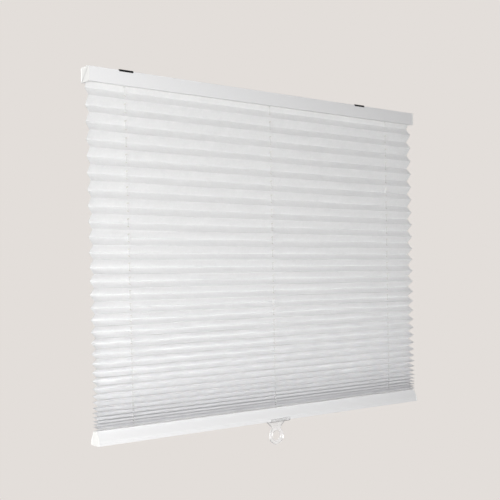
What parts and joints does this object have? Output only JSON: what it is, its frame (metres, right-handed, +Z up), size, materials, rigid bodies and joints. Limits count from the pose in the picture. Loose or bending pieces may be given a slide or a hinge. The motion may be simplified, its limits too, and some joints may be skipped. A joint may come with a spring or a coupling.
{
  "type": "pleated blind",
  "caption": "Cordless pleated blind: head rail with clips and spring lift, pleated fabric on lift cords, bottom rail with finger ring.",
  "frame": {"origin": "on the mounting plane (the clips' top faces), at the middle of the blind's width and of the head rail's depth", "axes": "+X along the width, to the right as seen from the front; +Y from front to back, towards the window; +Z up"},
  "size_m": [0.88, 0.0326, 0.7542],
  "materials": {
    "cap_white": "satin moulded ABS",
    "clear_plastic": "clear moulded polycarbonate",
    "clip_black": "black oxide spring steel",
    "cord_white": "braided polyester cord",
    "gear_white": "moulded acetal",
    "motor_grey": "moulded nylon",
    "pleat_fabric": "white crushed pleated polyester",
    "rail_white": "satin white powder coat on extruded aluminium",
    "steel": "bright steel",
    "strip_white": "extruded PVC"
  },
  "bodies": {
    "headrail": {"headrail": "rail_white", "headrail_end_cap_left": "cap_white", "headrail_end_cap_right": "cap_white", "mounting_clip_left": "clip_black", "mounting_clip_right": "clip_black", "fabric_top_strip": "strip_white", "pleated_fabric": "pleat_fabric", "spring_motor_base": "motor_grey", "spring_motor_cover": "motor_grey", "spring_motor_screws": "steel", "flat_spring": "steel", "lift_cord_left": "cord_white", "cord_guide_left": "cap_white", "guide_pin_left": "steel", "lift_cord_middle": "cord_white", "cord_guide_middle": "cap_white", "guide_pin_middle": "steel", "lift_cord_right": "cord_white", "cord_guide_right": "cap_white", "guide_pin_right": "steel"},
    "bottom_rail": {"bottom_rail": "rail_white", "bottom_rail_end_cap_left": "cap_white", "bottom_rail_end_cap_right": "cap_white", "fabric_bottom_strip": "strip_white", "pull_handle": "clear_plastic", "cord_anchor_left": "cap_white", "cord_anchor_middle": "cap_white", "cord_anchor_right": "cap_white"},
    "cord_spool": {"cord_spool": "gear_white"},
    "spring_output_drum": {"spring_output_drum": "gear_white"},
    "spring_storage_drum": {"spring_storage_drum": "gear_white"},
    "guide_roller_left": {"guide_roller_left": "gear_white"},
    "guide_roller_middle": {"guide_roller_middle": "gear_white"},
    "guide_roller_right": {"guide_roller_right": "gear_white"}
  },
  "joints": [
    {"name": "lift", "type": "slide", "parent": "headrail", "child": "bottom_rail", "axis": [0, 0, 1], "range_m": [0, 0.56], "deforming": ["pleated_fabric", "lift_cord_left", "lift_cord_middle", "lift_cord_right"]},
    {"name": "spool_spin", "type": "hinge", "parent": "headrail", "child": "cord_spool", "pos_m": [0.3813, 0, -0.01305], "axis": [0, 0, 1], "range_deg": [-4718.98, 0]},
    {"name": "output_drum_spin", "type": "hinge", "parent": "headrail", "child": "spring_output_drum", "pos_m": [0.4013, 0, -0.01305], "axis": [0, 0, 1], "range_deg": [0, 4718.98]},
    {"name": "storage_drum_spin", "type": "hinge", "parent": "headrail", "child": "spring_storage_drum", "pos_m": [0.4207, 0, -0.01305], "axis": [0, 0, 1], "range_deg": [-4718.98, 0]},
    {"name": "roller_left_spin", "type": "hinge", "parent": "headrail", "child": "guide_roller_left", "pos_m": [-0.3522, 0, -0.0114], "axis": [0, 1, 0], "range_deg": [0, 8444.09]},
    {"name": "roller_middle_spin", "type": "hinge", "parent": "headrail", "child": "guide_roller_middle", "pos_m": [0.0038, 0, -0.0142], "axis": [0, 1, 0], "range_deg": [0, 8444.09]},
    {"name": "roller_right_spin", "type": "hinge", "parent": "headrail", "child": "guide_roller_right", "pos_m": [0.3598, 0, -0.017], "axis": [0, 1, 0], "range_deg": [0, 8444.09]}
  ],
  "couplings": [
    {"joint": "spool_spin", "follows": "lift", "rad_per_m": -147.06},
    {"joint": "output_drum_spin", "follows": "lift", "rad_per_m": 147.06},
    {"joint": "storage_drum_spin", "follows": "lift", "rad_per_m": -147.06},
    {"joint": "roller_left_spin", "follows": "lift", "rad_per_m": 263.16},
    {"joint": "roller_middle_spin", "follows": "lift", "rad_per_m": 263.16},
    {"joint": "roller_right_spin", "follows": "lift", "rad_per_m": 263.16}
  ]
}
